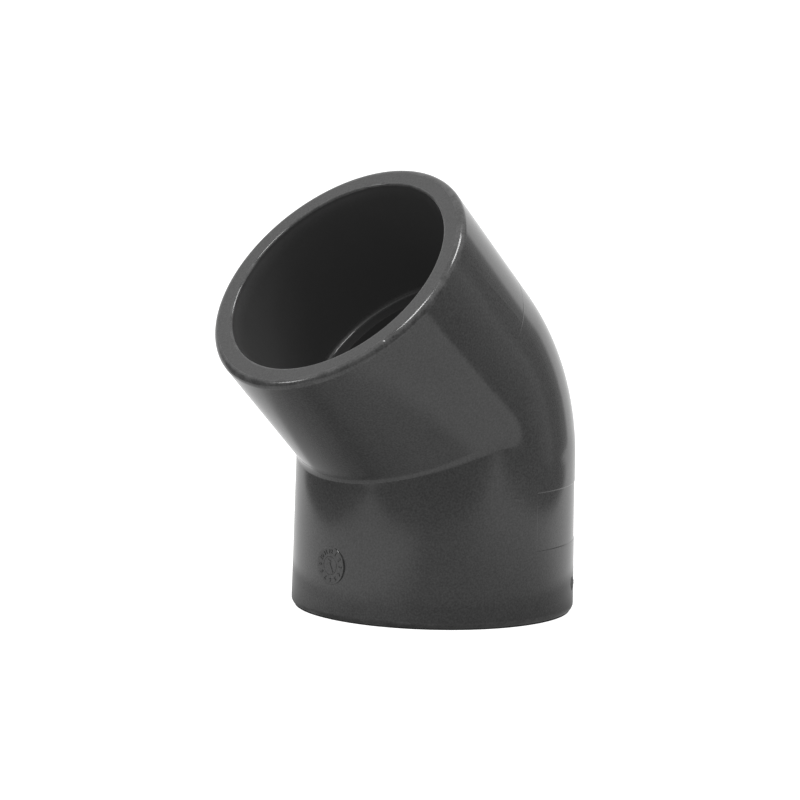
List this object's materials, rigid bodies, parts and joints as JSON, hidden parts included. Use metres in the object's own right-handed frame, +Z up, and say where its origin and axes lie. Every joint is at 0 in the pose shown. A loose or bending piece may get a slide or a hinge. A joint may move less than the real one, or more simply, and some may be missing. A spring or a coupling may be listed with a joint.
{
  "type": "pipe elbow",
  "caption": "Shallow-bend pipe elbow in dark grey rigid PVC, with a plain socket at each end for gluing in a 50 mm pressure pipe.",
  "frame": {"origin": "middle of the bounding box's bottom face, in the plane of the lower socket's mouth; the lower socket's axis is parallel to Z, 10.58 mm towards +X from it", "axes": "+Z up, along the lower socket's axis, into the fitting; the upper socket leans 45 degrees from +Z towards -X; the XZ plane holds both socket axes"},
  "size_m": [0.0822, 0.061, 0.0949],
  "materials": {
    "pvc_body": "semi-gloss moulded rigid PVC, dark neutral grey"
  },
  "bodies": {
    "root": {"elbow_body": "pvc_body"}
  },
  "joints": []
}
